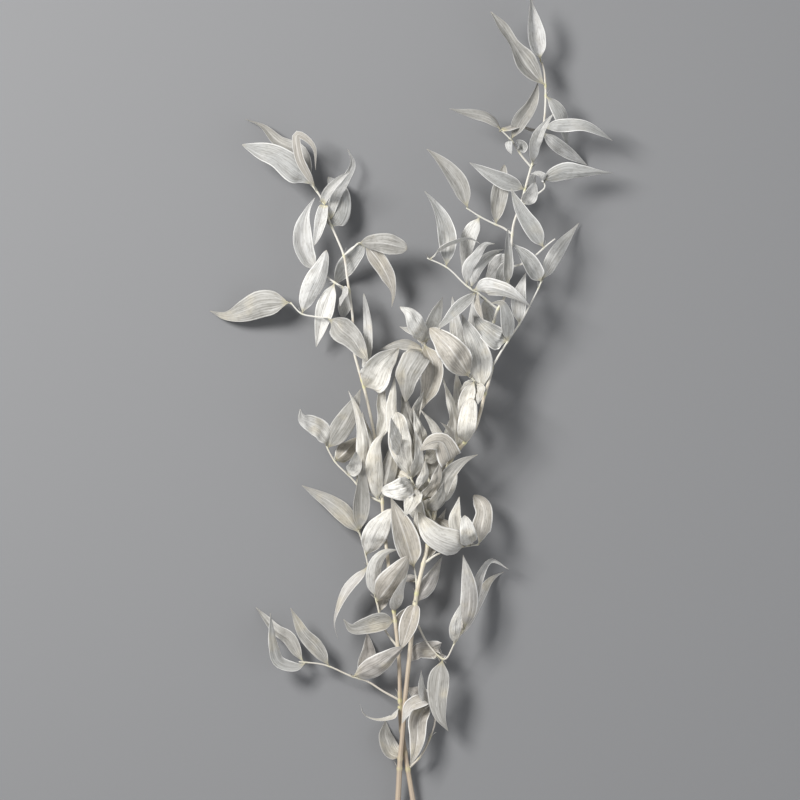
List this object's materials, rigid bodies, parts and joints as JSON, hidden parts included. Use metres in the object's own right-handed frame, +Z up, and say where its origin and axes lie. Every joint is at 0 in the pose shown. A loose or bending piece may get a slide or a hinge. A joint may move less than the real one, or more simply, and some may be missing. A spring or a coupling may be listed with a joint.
{
  "type": "dried ruscus spray",
  "caption": "Bleached dried ruscus: two slender cut stems crossing near their ends, with side twigs and pointed papery leaves, lying on a surface.",
  "frame": {"origin": "centre of the spray's outline in plan, on the surface it lies on", "axes": "+Y from the cut ends towards the leafy tops, +Z up from the surface, +X across"},
  "size_m": [0.3014, 0.6686, 0.0745],
  "materials": {
    "leaf": "bleached dry leaf, ivory with warm beige patches, satin, fine lengthwise veins",
    "cane": "bleached thin stem, cream tan, satin"
  },
  "bodies": {
    "root": {"left_stem": "cane", "right_stem": "cane", "top_twig": "leaf", "short_upper_twig": "leaf", "right_stub_twig": "leaf", "upper_left_twig": "leaf", "middle_left_twig": "leaf", "right_fork_twig": "leaf", "inner_right_twig": "leaf", "centre_twig": "leaf", "inner_left_twig": "leaf", "lower_spur": "leaf", "thin_left_twig": "leaf", "lower_left_twig": "leaf", "lower_right_twig": "leaf", "right_low_twig": "leaf", "right_mid_twig": "leaf", "left_short_twig": "leaf", "left_branch_twig": "leaf", "left_inner_twig": "leaf", "left_low_twig": "leaf", "leaf_crown_right": "leaf", "leaf_crown_left": "leaf", "leaf_top_arch": "leaf", "leaf_top_right": "leaf", "leaf_right_drop": "leaf", "leaf_over_top": "leaf", "leaf_upper_left": "leaf", "leaf_inner_upper": "leaf", "leaf_inner_lower": "leaf", "leaf_inner_strip": "leaf", "leaf_fork": "leaf", "leaf_middle_tall": "leaf", "leaf_middle_back": "leaf", "leaf_middle_bright": "leaf", "leaf_middle_small": "leaf", "leaf_middle_left": "leaf", "leaf_middle_curve": "leaf", "leaf_middle_narrow": "leaf", "leaf_waist_right": "leaf", "leaf_waist_back": "leaf", "leaf_waist_left": "leaf", "leaf_waist_small": "leaf", "leaf_low_mauve": "leaf", "leaf_low_front": "leaf", "leaf_low_back": "leaf", "leaf_low_left": "leaf", "leaf_low_strip": "leaf", "leaf_low_arc": "leaf", "leaf_lowest": "leaf", "leaf_left_crown_far": "leaf", "leaf_left_crown_wide": "leaf", "leaf_left_crown_hook": "leaf", "leaf_left_top_small": "leaf", "leaf_left_round": "leaf", "leaf_left_ribbon": "leaf", "leaf_left_curl": "leaf", "leaf_left_edge": "leaf", "leaf_left_broad": "leaf", "leaf_left_hidden": "leaf"}
  },
  "joints": []
}
